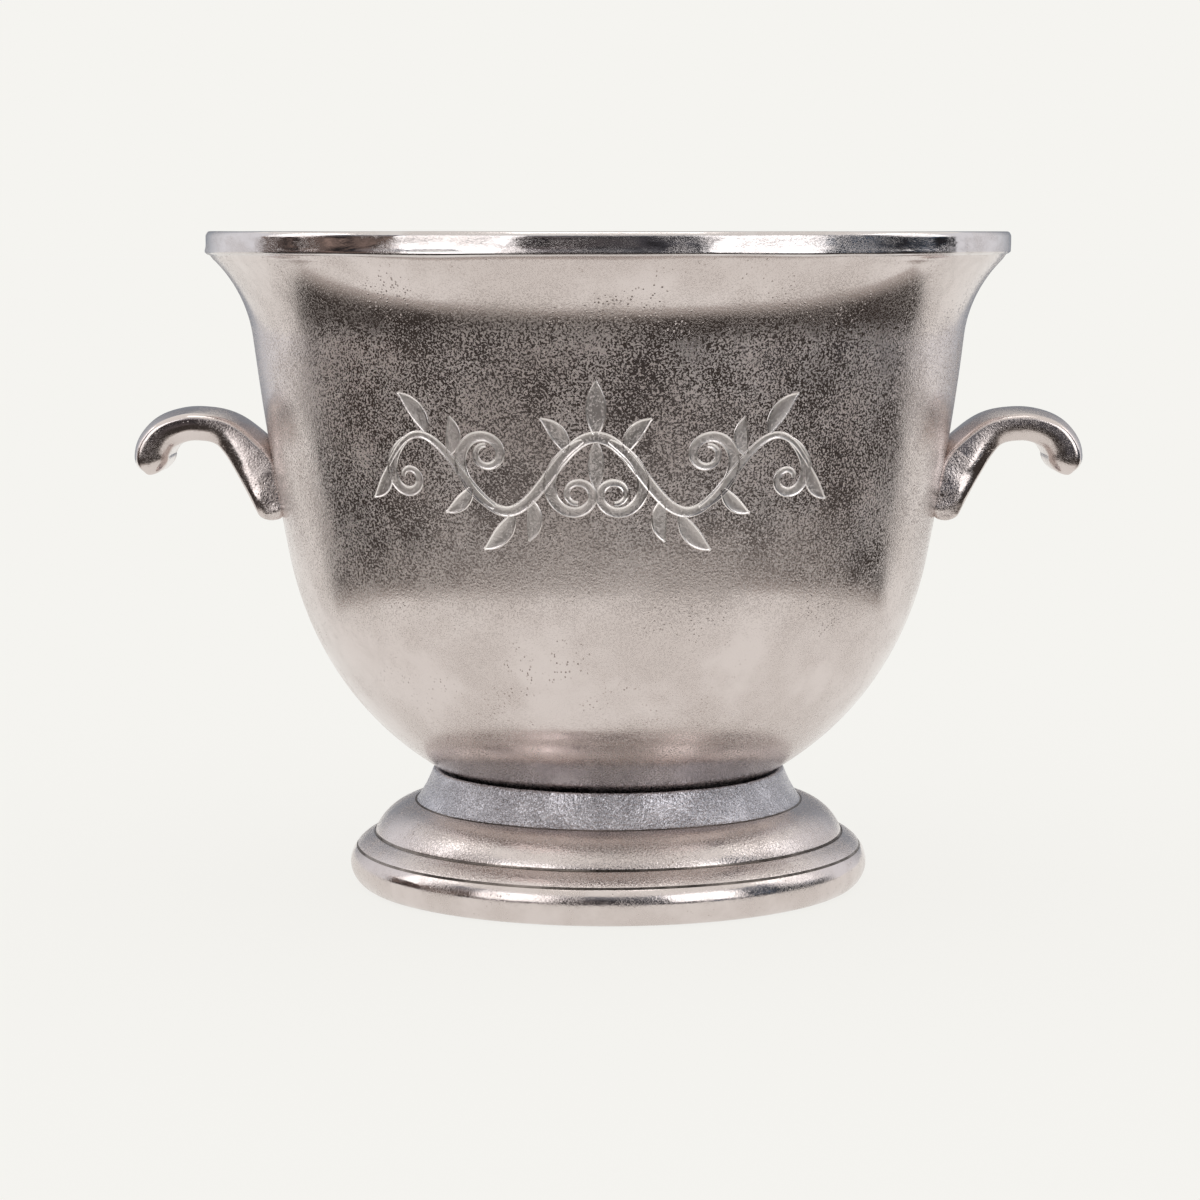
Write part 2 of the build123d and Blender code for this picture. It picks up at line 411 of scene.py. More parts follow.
@dataclass(frozen=True)
class AsCastNickel(CastNickel):
    """The foot's neck and every unseen face: plated straight over the sand skin.

    It is cooler and duller than the buffed metal and sparkles in fine points.
    """

    name: str = "as_cast_nickel"
    colour: str = "#C9C6CB"
    shade: str = "#77757B"
    smooth_roughness: float = 0.14
    worn_roughness: float = 0.20
    patch_mm: float = 18.0
    grain_mm: float = 1.2
    grain_depth_mm: float = 0.80
    buffed_grain_depth_mm: float = 0.55
    speck_roughness: float = 0.45
    pit_mm: float = 1.4
    pit_from: float = 0.45
    pit_to: float = 0.60


@dataclass(frozen=True)
class CreaseShadeNickel(CastNickel):
    """Creases: painted shade, a dark grey laid in the foot's grooves where shade falls."""

    name: str = "painted_crease_shade"
    colour: str = "#8F8680"
    shade: str = "#3F3936"
    tarnish_share: float = 0.9
    smooth_roughness: float = 0.26
    worn_roughness: float = 0.50
    patch_mm: float = 26.0
    patch_from: float = 0.30
    patch_to: float = 0.66


@dataclass(frozen=True)
class ChasedNickel(CastNickel):
    """The scroll's bed: matted with a punch. Its colour, a shade lighter than the wall, is a painted matt
    sheen.
    """

    name: str = "chased_nickel"
    # Lighter than the wall: painted sheen of the matted bed.
    colour: str = "#E6DFDC"
    shade: str = "#C9C0BB"
    smooth_roughness: float = 0.30
    worn_roughness: float = 0.38
    grain_depth_mm: float = 0.09
    buffed_grain_depth_mm: float = 0.06
    pit_depth_mm: float = 0.05


@dataclass(frozen=True)
class EdgeHighlightNickel(CastNickel):
    """The scroll's raised edges, thrown up by the graver: a light colour paints a highlight along them."""

    name: str = "painted_edge_highlight"
    colour: str = "#F0EAE7"
    shade: str = "#D8D0CC"
    smooth_roughness: float = 0.22
    worn_roughness: float = 0.30
    grain_depth_mm: float = 0.03
    buffed_grain_depth_mm: float = 0.01
    speck_share: float = 0.2
    buffed_speck_share: float = 0.0
    pit_depth_mm: float = 0.03


@dataclass(frozen=True)
class CloudedFinish:
    """A plain finish with a cloudy bloom and a fine texture."""

    name: str
    colour: str
    bloom: str
    roughness_low: float
    roughness_high: float
    bloom_mm: float
    texture_mm: float
    texture_depth_mm: float
    texture_detail: float
    # The shader's input that tells this substance from others, and its value.
    substance: tuple[str, float]

    def material(self) -> bpy.types.Material:
        """Builds the finish.

        Returns:
            The new material.
        """
        material = empty_material(self.name)
        add = partial(add_node, material.node_tree)
        place = add("TexCoord").outputs["Object"]
        clouds, texture = (
            add("TexNoise", {"Vector": place, "Scale": per_metre(size), "Detail": detail})
            for size, detail in ((self.bloom_mm, 3.0), (self.texture_mm, self.texture_detail))
        )
        colour = add(
            "Mix", {0: clouds, 6: linear(self.colour), 7: linear(self.bloom)}, data_type="RGBA"
        ).outputs[2]
        roughness = add(
            "MapRange", {"Value": clouds, "To Min": self.roughness_low, "To Max": self.roughness_high}
        )
        normal = add("Bump", {"Height": texture, "Distance": self.texture_depth_mm * MM})
        key, value = self.substance
        surface = add(
            "BsdfPrincipled", {"Base Color": colour, key: value, "Roughness": roughness, "Normal": normal}
        )
        add("OutputMaterial", {"Surface": surface})
        return material


@dataclass(frozen=True)
class ZincPlatedSteel(CloudedFinish):
    """Bolt, nut, steel washer and screws: bright zinc with a faint blue cast.

    The barrel plating leaves a fine cloudy bloom and small handling marks.
    """

    name: str = "zinc_plated_steel"
    colour: str = "#C9CCD0"
    bloom: str = "#A7ABB3"
    roughness_low: float = 0.22
    roughness_high: float = 0.38
    # Clouds in the plate are a few millimetres; handling marks under half of one.
    bloom_mm: float = 4.0
    texture_mm: float = 0.5
    texture_depth_mm: float = 0.012
    texture_detail: float = 2.0
    substance: tuple[str, float] = ("Metallic", 1.0)


@dataclass(frozen=True)
class MouldedRubber(CloudedFinish):
    """Sealing washers: black moulded nitrile, matt with a dusty bloom."""

    name: str = "moulded_rubber"
    colour: str = "#1C1B1B"
    bloom: str = "#34322F"
    roughness_low: float = 0.62
    roughness_high: float = 0.78
    # Bloom gathers in spots of about 2 mm; the mould's texture is near 0.4 mm.
    bloom_mm: float = 2.2
    texture_mm: float = 0.4
    texture_depth_mm: float = 0.02
    texture_detail: float = 1.0
    substance: tuple[str, float] = ("IOR", 1.52)


class Coat(IntEnum):
    """The finishes of the cast pieces, in the order of their material slots."""

    POLISHED = 0
    MIRROR = 1
    SATIN = 2
    MOULDING = 3
    AS_CAST = 4
    # Painted shade in the foot's creases.
    CREASE_SHADE = 5
    CHASED = 6
    # Painted highlight along the scroll's raised edges.
    EDGE_HIGHLIGHT = 7
    BRUSHED = 8


class Finishes:
    """Every finish, built once and shared by the pieces."""

    def __init__(self) -> None:
        """Builds the materials."""
        recipes = [
            PolishedCastNickel(),
            MirrorPolishedNickel(),
            SatinCastNickel(),
            PolishedMouldingNickel(),
            AsCastNickel(),
            CreaseShadeNickel(),
            ChasedNickel(),
            EdgeHighlightNickel(),
            BrushedMouldingNickel(),
        ]
        self.cast = [recipe.material() for recipe in recipes]
        self.steel = ZincPlatedSteel().material()
        self.rubber = MouldedRubber().material()


@dataclass(frozen=True)
class CastingWave:
    """Slow unevenness that the sand mould and the buffing wheel leave."""

    long_mm: float = 58.0
    long_depth_mm: float = 0.42
    short_mm: float = 19.0
    short_depth_mm: float = 0.07
    seed: float = 3.7

    def at(self, x: float, y: float, z: float) -> float:
        """Height of the unevenness at a point of the surface.

        Args:
            x: Millimetres to the right.
            y: Millimetres to the back.
            z: Millimetres up.

        Returns:
            Millimetres along the outward normal.
        """
        spot = Vector((x, y, z))
        shift = Vector((self.seed, self.seed, self.seed))
        slow = noise.noise(spot / self.long_mm + shift)
        quick = noise.noise(spot / self.short_mm - shift)
        return slow * self.long_depth_mm + quick * self.short_depth_mm


@dataclass
class Outline:
    """A closed outline in the (radius, height) plane, walked point by point."""

    points: list[Flat]
    coats: list[Coat] = field(default_factory=list)

    def line(self, end: Flat, step: float, coat: Coat) -> None:
        """Walks straight to a point.

        Args:
            end: Where the line ends.
            step: Longest distance between its points.
            coat: The finish of this stretch.
        """
        start = self.points[-1]
        count = max(1, ceil(hypot(end[0] - start[0], end[1] - start[1]) / step))
        for i in range(1, count + 1):
            t = i / count
            self.points.append((start[0] + (end[0] - start[0]) * t, start[1] + (end[1] - start[1]) * t))
            self.coats.append(coat)

    def bend(self, middle: Flat, end: Flat, step: float, coat: Coat) -> None:
        """Walks along the arc through a middle point to an end point.

        Args:
            middle: A point on the arc.
            end: Where the arc ends.
            step: Longest distance between its points.
            coat: The finish of this stretch.
        """
        start = self.points[-1]
        ax, ay = middle[0] - start[0], middle[1] - start[1]
        bx, by = end[0] - start[0], end[1] - start[1]
        d = 2 * (ax * by - ay * bx)
        ux = (by * (ax * ax + ay * ay) - ay * (bx * bx + by * by)) / d
        uy = (ax * (bx * bx + by * by) - bx * (ax * ax + ay * ay)) / d
        radius = hypot(ux, uy)
        first = atan2(-uy, -ux)
        turns = [atan2(p[1] - uy, p[0] - ux) - first for p in ((ax, ay), (bx, by))]
        turns = [t % (2 * pi) for t in turns]
        sweep = turns[1] if turns[0] < turns[1] else turns[1] - 2 * pi
        count = max(2, ceil(abs(sweep) * radius / step))
        for i in range(1, count + 1):
            angle = first + sweep * i / count
            spot = (start[0] + ux + radius * cos(angle), start[1] + uy + radius * sin(angle))
            self.points.append(spot)
            self.coats.append(coat)

    def soften(self, passes: int) -> None:
        """Rounds every corner a little, as a casting's corners are.

        Args:
            passes: How many times each point moves towards its neighbours.
        """
        ring = np.array(self.points[:-1])
        for _ in range(passes):
            ring = ring * 0.5 + (np.roll(ring, 1, 0) + np.roll(ring, -1, 0)) * 0.25
        self.points = [tuple(p) for p in ring] + [tuple(ring[0])]


def grid_faces(rows: int, columns: int, close_rows: bool, close_columns: bool) -> np.ndarray:
    """Quads of a grid of points numbered row by row.

    Args:
        rows: Number of rows.
        columns: Number of points in a row.
        close_rows: Whether the last row joins the first.
        close_columns: Whether each row closes on itself.

    Returns:
        An array of four point numbers for each face, ordered row by row.
    """
    r = np.arange(rows if close_rows else rows - 1)
    c = np.arange(columns if close_columns else columns - 1)
    row, column = np.meshgrid(r, c, indexing="ij")
    up = (row + 1) % rows
    over = (column + 1) % columns
    corners = [row * columns + column, row * columns + over, up * columns + over, up * columns + column]
    return np.stack(corners, axis=-1).reshape(-1, 4)


def mesh_object(name: str, points: list, faces: list) -> bpy.types.Object:
    """A new mesh object, linked to the scene.

    Args:
        name: Its name.
        points: Its points in metres.
        faces: Point numbers of each face.

    Returns:
        The object.
    """
    mesh = bpy.data.meshes.new(name)
    mesh.from_pydata(points, [], faces)
    item = bpy.data.objects.new(name, mesh)
    bpy.context.scene.collection.objects.link(item)
    return item


def cast_piece(
    name: str,
    points: np.ndarray,
    faces: list[list[int]],
    coats: np.ndarray,
    finishes: Finishes,
    sharp_angle: float,
) -> bpy.types.Object:
    """Makes one cast piece from its points and faces.

    Args:
        name: The piece's name.
        points: Its points in millimetres.
        faces: Point numbers of each face.
        coats: The finish of each face.
        finishes: The shared materials.
        sharp_angle: Edges that turn more than this many degrees stay crisp.

    Returns:
        The new object, linked to the scene.
    """
    piece = mesh_object(name, (points * MM).tolist(), faces)
    mesh = piece.data
    used = sorted(set(int(c) for c in coats))
    for coat in used:
        mesh.materials.append(finishes.cast[coat])
    slots = np.searchsorted(used, coats).astype(np.int32)
    mesh.polygons.foreach_set("material_index", slots)
    shape = bmesh.new()
    shape.from_mesh(mesh)
    bmesh.ops.recalc_face_normals(shape, faces=shape.faces)
    shape.to_mesh(mesh)
    shape.free()
    mesh.shade_smooth()
    mesh.set_sharp_from_angle(angle=radians(sharp_angle))
    return piece


def settle(piece: bpy.types.Object, slot: str, *nodes: str) -> None:
    """Fixes a piece to the bucket's body, hides the CAD nodes that it stands for and reports it with its
    slot.

    Args:
        piece: The piece.
        slot: The record's material slot.
        nodes: The CAD nodes that it stands for.
    """
    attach(piece, BODY)
    if nodes:
        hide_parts(*nodes)
    log.info("%s: %d faces, slot %s", piece.name, len(piece.data.polygons), slot)


def spin(
    name: str,
    outline: Outline,
    columns: int,
    wave: CastingWave,
    calm: object,
    finishes: Finishes,
    sharp_angle: float,
) -> bpy.types.Object:
    """Spins a closed outline about the upright axis, with its unevenness.

    Args:
        name: The piece's name.
        outline: The closed outline.
        columns: Number of points round each ring.
        wave: The casting's unevenness.
        calm: A function of (radius, height) that gives the share of unevenness
            there and how far the surface is held back, in millimetres.
        finishes: The shared materials.
        sharp_angle: Edges that turn more than this many degrees stay crisp.

    Returns:
        The new object.
    """
    ring = np.array(outline.points[:-1])
    along = np.roll(ring, -1, 0) - np.roll(ring, 1, 0)
    area = np.sum(ring[:, 0] * np.roll(ring[:, 1], -1) - np.roll(ring[:, 0], -1) * ring[:, 1])
    normal = np.stack([along[:, 1], -along[:, 0]], axis=1) * np.sign(area)
    normal /= np.maximum(np.linalg.norm(normal, axis=1, keepdims=True), 1e-9)
    turns = np.arange(columns) * 2 * pi / columns
    points = np.zeros((len(ring), columns, 3))
    for i, ((radius, height), (out, up)) in enumerate(zip(ring, normal)):
        share, held = calm(radius, height)
        for j, turn in enumerate(turns):
            c, s = cos(turn), sin(turn)
            lift = wave.at(radius * c, radius * s, height) * share - held
            points[i, j] = ((radius + out * lift) * c, (radius + out * lift) * s, height + up * lift)
    faces = grid_faces(len(ring), columns, True, True)
    coats = np.repeat(np.array(outline.coats), columns)
    return cast_piece(name, points.reshape(-1, 3), faces.tolist(), coats, finishes, sharp_angle)


def outward(angle: float) -> np.ndarray:
    """Outward normal, in the (radius, height) plane, of a surface tilted by angle."""
    return np.array([cos(radians(angle)), -sin(radians(angle))])


@dataclass
class Bowl:
    """The deep bowl: a flare, a nearly straight wall and a round belly."""

    height: float = 245.5
    lip_radius: float = 150.3
    lip_inner_radius: float = 142.8
    lip_edge: float = 2.0
    lip_band_bottom: float = 238.2
    crease: Flat = (148.4, 236.5)
    under_lip_middle: Flat = (149.73, 236.93)
    flare_top_angle: float = 48.0
    flare_radius: float = 48.0
    wall_top_angle: float = 7.0
    wall_radius: float = 1205.0
    belly_top_angle: float = 11.0
    belly_radius: float = 120.0
    thickness: float = 4.5
    base_height: float = 39.0
    bolt_hole: float = 5.3
    columns: int = 380
    step: float = 2.1
    inner_step: float = 3.0
    lip_step: float = 0.6
    crease_depth: float = 0.4
    crease_wander: float = 1.2
    lip_hold: float = 0.40
    unroll_radius: float = 120.0
    wave: CastingWave = CastingWave()

    def __post_init__(self) -> None:
        """Works out the three arcs' centres from the crease downwards."""
        self.flare_centre = np.array(self.crease) + outward(self.flare_top_angle) * self.flare_radius
        self.wall_top = self.flare_centre - outward(self.wall_top_angle) * self.flare_radius
        self.wall_centre = self.wall_top - outward(self.wall_top_angle) * self.wall_radius
        self.belly_top = self.wall_centre + outward(self.belly_top_angle) * self.wall_radius
        self.belly_centre = self.belly_top - outward(self.belly_top_angle) * self.belly_radius

    def belly_angle(self, height: float, inset: float) -> float:
        """Tilt of the belly at a height, on the surface inset from the outside."""
        return degrees(asin((self.belly_centre[1] - height) / (self.belly_radius - inset)))

    def arcs(self, inset: float, top_angle: float, bottom: float) -> list[list[Flat]]:
        """Start, middle and end of the side's arcs, from the flare downwards.

        Args:
            inset: Distance in from the outside.
            top_angle: Tilt at which the flare starts.
            bottom: Height at which the belly ends.

        Returns:
            Three lists of three points.
        """
        spans = [
            (self.flare_centre, -(self.flare_radius + inset), top_angle, self.wall_top_angle),
            (self.wall_centre, self.wall_radius - inset, self.wall_top_angle, self.belly_top_angle),
            (
                self.belly_centre,
                self.belly_radius - inset,
                self.belly_top_angle,
                self.belly_angle(bottom, inset),
            ),
        ]
        return [
            [tuple(centre + outward(a) * radius) for a in (first, (first + last) / 2, last)]
            for centre, radius, first, last in spans
        ]

    def outside(self, height: float) -> tuple[float, np.ndarray]:
        """The undisturbed outside at a height.

        Args:
            height: Height between the base and the crease.

        Returns:
            Its radius and its outward normal in the (radius, height) plane.
        """
        if height > self.wall_top[1]:
            centre, radius, side = self.flare_centre, self.flare_radius, -1
        elif height > self.belly_top[1]:
            centre, radius, side = self.wall_centre, self.wall_radius, 1
        else:
            centre, radius, side = self.belly_centre, self.belly_radius, 1
        rise = height - centre[1]
        run = side * sqrt(radius * radius - rise * rise)
        return centre[0] + run, np.array([run, rise]) * side / radius

    def calm(self, radius: float, height: float) -> tuple[float, float]:
        """Share of unevenness at a place, and how far the surface is held back.

        Args:
            radius: Distance from the axis.
            height: Height above the foot's base.

        Returns:
            The share, and the hold-back in millimetres.
        """
        outside = radius > self.lip_inner_radius + 2
        lip = max(0.0, min(1.0, (height - self.lip_band_bottom) / 1.5))
        floor = max(0.0, min(1.0, (radius - 16) / 20))
        near_crease = max(0.0, 1 - abs(height - self.crease[1] - 0.8) / 3.0) * outside
        groove = max(0.0, 1 - abs(height - self.crease[1]) / 0.9) * self.crease_depth * outside
        share = (1 - 0.7 * lip) * floor + near_crease * self.crease_wander
        near_lip = max(0.0, min(1.0, (radius - self.lip_radius + 1.6) / 1.2))
        return share, (0.16 * lip + self.lip_hold * near_lip) + groove

    def surface(self, across: float, height: float, lift: float) -> np.ndarray:
        """A point over the bowl's front.

        Args:
            across: Distance along the wall from the middle of the front.
            height: Height above the foot's base.
            lift: Distance out from the uneven surface.

        Returns:
            The point in millimetres.
        """
        radius, normal = self.outside(height)
        turn = across / self.unroll_radius - pi / 2
        c, s = cos(turn), sin(turn)
        share, held = self.calm(radius, height)
        out = self.wave.at(radius * c, radius * s, height) * share - held + lift
        reach = radius + normal[0] * out
        return np.array([reach * c, reach * s, height + normal[1] * out])

    def outline(self) -> Outline:
        """Walks the bowl's section: outside, lip, inside and floor.

        Returns:
            The closed outline.
        """
        edge, top = self.lip_edge, self.height
        inner_angle = degrees(
            acos((self.flare_centre[0] - self.lip_inner_radius) / (self.flare_radius + self.thickness))
        )
        outer = self.arcs(0.0, self.flare_top_angle, self.base_height)
        inner = self.arcs(self.thickness, inner_angle, self.base_height + self.thickness)
        corner = edge * (1 - sqrt(0.5))
        walk = Outline([(self.bolt_hole, self.base_height)])
        walk.line(outer[2][2], 4.0, Coat.AS_CAST)
        for start, middle, _ in reversed(outer):
            walk.bend(middle, start, self.step, Coat.POLISHED)
        step, lip, inside = self.lip_step, self.lip_radius, self.lip_inner_radius
        walk.bend(self.under_lip_middle, (lip, self.lip_band_bottom), step, Coat.MIRROR)
        walk.line((lip, top - edge), step, Coat.MIRROR)
        walk.bend((lip - corner, top - corner), (lip - edge, top), step, Coat.MIRROR)
        walk.line((inside + edge, top), step, Coat.MIRROR)
        walk.bend((inside + corner, top - corner), (inside, top - edge), step, Coat.MIRROR)
        walk.line(inner[0][0], 1.5, Coat.MIRROR)
        for _, middle, end in inner:
            walk.bend(middle, end, self.inner_step, Coat.SATIN)
        walk.line((self.bolt_hole, self.base_height + self.thickness), 3.5, Coat.SATIN)
        walk.line((self.bolt_hole, self.base_height), 3.0, Coat.AS_CAST)
        return walk

    def build(self, finishes: Finishes) -> bpy.types.Object:
        """Builds the bowl.

        Args:
            finishes: The shared materials.

        Returns:
            The bowl.
        """
        piece = spin("bowl_casting", self.outline(), self.columns, self.wave, self.calm, finishes, 50)
        settle(piece, "bowl_metal", "bowl")
        return piece


@dataclass
class Foot:
    """The hollow pedestal foot: a rough neck, two brushed mouldings and a polished base ring."""

    bolt_hole: float = 5.3
    deck_top: float = 39.0
    seat_start: Flat = (56.8, 39.0)
    seat_middle: Flat = (61.27, 41.4)
    seat_end: Flat = (65.33, 43.8)
    neck_top: Flat = (66.2, 43.8)
    neck_waist: Flat = (69.0, 37.2)
    neck_foot: Flat = (72.8, 31.0)
    ridge: Flat = (73.4, 30.9)
    ovolo_middle: Flat = (82.8, 27.0)
    ovolo_bottom: Flat = (88.4, 19.6)
    crease_bottom: Flat = (88.35, 19.1)
    band_top: Flat = (88.9, 19.0)
    band_middle: Flat = (92.9, 16.8)
    band_bottom: Flat = (95.5, 14.5)
    groove: Flat = (95.4, 14.2)
    ring_top: Flat = (95.7, 14.0)
    ring_middle: Flat = (98.1, 8.3)
    ring_bottom: Flat = (93.2, 0.0)
    hollow: tuple[Flat, ...] = (
        (86.5, 0.0),
        (89.0, 8.5),
        (84.0, 17.0),
        (78.0, 23.5),
        (69.5, 26.5),
        (65.5, 34.0),
        (18.0, 34.0),
        (15.0, 31.0),
        (5.3, 31.0),
    )
    columns: int = 400
    step: float = 0.8
    wave: CastingWave = CastingWave(
        long_mm=46.0, long_depth_mm=0.30, short_mm=11.0, short_depth_mm=0.07, seed=8.3
    )

    def calm(self, radius: float, height: float) -> tuple[float, float]:
        """Unevenness fades at the flat base, so that the foot stands true."""
        base = max(0.0, min(1.0, height / 3))
        deck = max(0.0, min(1.0, (radius - 20) / 20))
        return base * deck, 0.12 * base * deck * (radius > 90)

    def outline(self) -> Outline:
        """Walks the foot's section: deck, seat, mouldings and hollow underside.

        Returns:
            The closed outline.
        """
        walk = Outline([(self.bolt_hole, self.deck_top)])
        walk.line(self.seat_start, 5.0, Coat.AS_CAST)
        walk.bend(self.seat_middle, self.seat_end, 2.0, Coat.AS_CAST)
        walk.line(self.neck_top, 2.0, Coat.AS_CAST)
        walk.bend(self.neck_waist, self.neck_foot, self.step, Coat.AS_CAST)
        # The creases between the mouldings get the painted crease shade.
        walk.line(self.ridge, 0.4, Coat.CREASE_SHADE)
        walk.bend(self.ovolo_middle, self.ovolo_bottom, self.step, Coat.BRUSHED)
        walk.line(self.crease_bottom, 0.4, Coat.CREASE_SHADE)
        walk.line(self.band_top, 0.4, Coat.CREASE_SHADE)
        walk.bend(self.band_middle, self.band_bottom, self.step, Coat.BRUSHED)
        walk.line(self.groove, 0.3, Coat.CREASE_SHADE)
        walk.line(self.ring_top, 0.3, Coat.CREASE_SHADE)
        walk.bend(self.ring_middle, self.ring_bottom, self.step, Coat.MOULDING)
        for point in self.hollow:
            walk.line(point, 3.0, Coat.AS_CAST)
        walk.line((self.bolt_hole, self.deck_top), 3.0, Coat.AS_CAST)
        walk.soften(2)
        return walk

    def build(self, finishes: Finishes) -> bpy.types.Object:
        """Builds the foot.

        Args:
            finishes: The shared materials.

        Returns:
            The foot.
        """
        piece = spin("foot_casting", self.outline(), self.columns, self.wave, self.calm, finishes, 60)
        settle(piece, "foot_metal", "foot")
        return piece


class Side(Enum):
    """Which side a handle is on, with its turn about the upright axis."""

    RIGHT = 0.0
    LEFT = 180.0


@dataclass
class HookHandle:
    """A cast strap bent to a hook, wider and thicker where it meets the wall."""

    side: Side
    # Centreline, as distance out from the axis and height.
    stations: tuple[Flat, ...] = (
        (122.4, 139.0),
        (126.3, 149.0),
        (130.6, 158.8),
        (138.4, 168.2),
        (145.0, 172.6),
        (153.8, 173.9),
        (160.3, 173.0),
        (166.3, 170.2),
        (170.2, 165.4),
        (171.3, 160.9),
        (171.2, 154.9),
    )
    thicknesses: tuple[float, ...] = (12.5, 15.0, 17.0, 14.2, 12.4, 12.2, 12.6, 13.2, 13.8, 13.9, 13.6)
    widths: tuple[float, ...] = (46.0, 43.5, 40.0, 36.0, 34.0, 33.2, 33.0, 32.8, 32.6, 32.4, 32.0)
    crown: float = 2.2
    top_corner: float = 2.2
    roll_in: float = 4.4
    roll_up: float = 6.2
    tip_radius: float = 6.4
    root_radius: float = 4.5
    wall_bite: float = 1.2
    weld_reach: float = 6.5
    outermost: float = 178.45
    rings_per_station: int = 6
    wave: CastingWave = CastingWave(
        long_mm=21.0, long_depth_mm=0.40, short_mm=7.0, short_depth_mm=0.10, seed=5.1
    )
    # Weld-like lumps on the root's sides, where the mould was badly filled.
    lumps: CastingWave = CastingWave(
        long_mm=5.0, long_depth_mm=1.3, short_mm=2.2, short_depth_mm=0.5, seed=2.4
    )

    def section(self, width: float, thickness: float) -> list[Flat]:
        """Section of the strap: flat below, rolled sides and a crowned back.

        Args:
            width: Full width across the strap.
            thickness: Full thickness at its middle.

        Returns:
            Points (across, up) round the section, with up towards the hook's back.
        """
        half, low, high = width / 2, -thickness / 2, thickness / 2
        shoulder = high - min(self.crown, thickness * 0.25)
        top = min(self.top_corner, thickness * 0.2)
        roll_in, roll_up = min(self.roll_in, thickness * 0.4), min(self.roll_up, thickness * 0.5)
        one_side: list[Flat] = [((half - roll_in) * i / 7, low) for i in range(7)]
        for i in range(9):
            a = pi / 2 * i / 8
            one_side.append((half - roll_in + roll_in * sin(a), low + roll_up - roll_up * cos(a)))
        for i in range(6):
            a = radians(72) * i / 5
            one_side.append((half - top + top * cos(a), shoulder - top + top * sin(a)))
        edge = one_side[-1]
        for i in range(1, 10):
            t = i / 9
            one_side.append((edge[0] * (1 - t), edge[1] + (high - edge[1]) * sin(pi / 2 * t)))
        mirrored = [(-y, h) for y, h in reversed(one_side[1:-1])]
        return one_side + mirrored

    def centreline(self) -> list[tuple[float, float, float, float]]:
        """Smooth run of the strap's middle with its thickness and width.

        Returns:
            Rows of (out, height, thickness, width).
        """
        rows = [(x, z, t, w) for (x, z), t, w in zip(self.stations, self.thicknesses, self.widths)]
        table = np.array([rows[0], *rows, rows[-1]])
        run = []
        for i in range(1, len(table) - 2):
            a, b, c, d = table[i - 1 : i + 3]
            for k in range(self.rings_per_station):
                t = k / self.rings_per_station
                square, cube = 2 * a - 5 * b + 4 * c - d, 3 * b - a - 3 * c + d
                run.append(0.5 * (2 * b + (c - a) * t + square * t * t + cube * t**3))
        run.append(table[-1])
        return run

    def build(self, bowl: Bowl, finishes: Finishes) -> bpy.types.Object:
        """Lofts the handle and fits its root to the wall.

        Args:
            bowl: The bowl that it sits on.
            finishes: The shared materials.

        Returns:
            The handle.
        """
        run = np.array(self.centreline())
        steps = np.linalg.norm(np.diff(run[:, :2], axis=0), axis=1)
        reached = np.concatenate([[0], np.cumsum(steps)])
        full = reached[-1]
        # Both ends close in a round: more rings there, each thinner.
        root = [self.root_radius * (1 - cos(pi / 2 * k / 7)) for k in range(8)]
        tip = [full - self.tip_radius * (1 - sin(pi / 2 * k / 9)) for k in range(10)]
        middle = [mark for mark in reached if root[-1] + 0.5 < mark < tip[0] - 0.5]
        marks = root + middle + tip
        rings = []
        coats = []
        for mark in marks:
            x, z, t, w = [np.interp(mark, reached, run[:, k]) for k in range(4)]
            ahead = [np.interp(min(mark + 1.0, full), reached, run[:, k]) for k in range(2)]
            behind = [np.interp(max(mark - 1.0, 0), reached, run[:, k]) for k in range(2)]
            along = np.array([ahead[0] - behind[0], ahead[1] - behind[1]])
            along /= np.linalg.norm(along)
            over = max(0.0, (mark - tip[0]) / self.tip_radius, 1 - mark / self.root_radius)
            close = sqrt(max(0.0, 1 - over * over))
            up = np.array([-along[1], along[0]])
            rough = max(0.0, 1 - mark / 30)
            ring = []
            for y, h in self.section(w - self.tip_radius * (1 - close), max(t * close, 0.5)):
                wave = self.wave.at(x + h, y, z)
                lump = self.lumps.at(x + h, y, z) * rough * min(1.0, max(0.0, abs(y) - w / 2 + 5) / 3)
                scale = 1 + wave / max(t, 4.0) * close
                across = y * (1 + wave * 0.012) + (lump if y > 0 else -lump) * close
                ring.append((x + up[0] * h * scale, across, z + up[1] * h * scale))
            rings.append(ring)
        points = np.array(rings)
        for ring in points:
            for point in ring:
                outside, _ = bowl.outside(min(point[2], bowl.crease[1]))
                reach = hypot(point[0], point[1])
                if reach < outside - self.wall_bite:
                    point[0] = sqrt(max((outside - self.wall_bite) ** 2 - point[1] ** 2, 0.0))
        points[:, :, 0] = np.minimum(points[:, :, 0], self.outermost)
        count = points.shape[1]
        faces = grid_faces(len(points), count, False, True).tolist()
        faces.append(list(range(count)))
        faces.append(list(range((len(points) - 1) * count, len(points) * count)))
        for k in range(len(points) - 1):
            rough = marks[k] < 24
            for i in range(count):
                side_face = abs(points[k, i, 1]) > abs(points[k, :, 1]).max() - 3.0
                outside, _ = bowl.outside(points[k, i, 2])
                by_wall = hypot(points[k, i, 0], points[k, i, 1]) < outside + self.weld_reach
                coats.append(Coat.BRUSHED if rough and side_face and by_wall else Coat.MOULDING)
        coats += [Coat.BRUSHED, Coat.MOULDING]
        flat = points.reshape(-1, 3)
        turn = Matrix.Rotation(radians(self.side.value), 3, "Z")
        flat = flat @ np.array(turn).T
        name = f"handle_{self.side.name.lower()}"
        piece = cast_piece(f"hook_{name}", flat, faces, np.array(coats), finishes, 60)
        settle(piece, "handle_metal", name)
        return piece


@dataclass(frozen=True)
class Stroke:
    """One chased line: its middle and its half width at each point."""

    middle: np.ndarray
    halves: np.ndarray


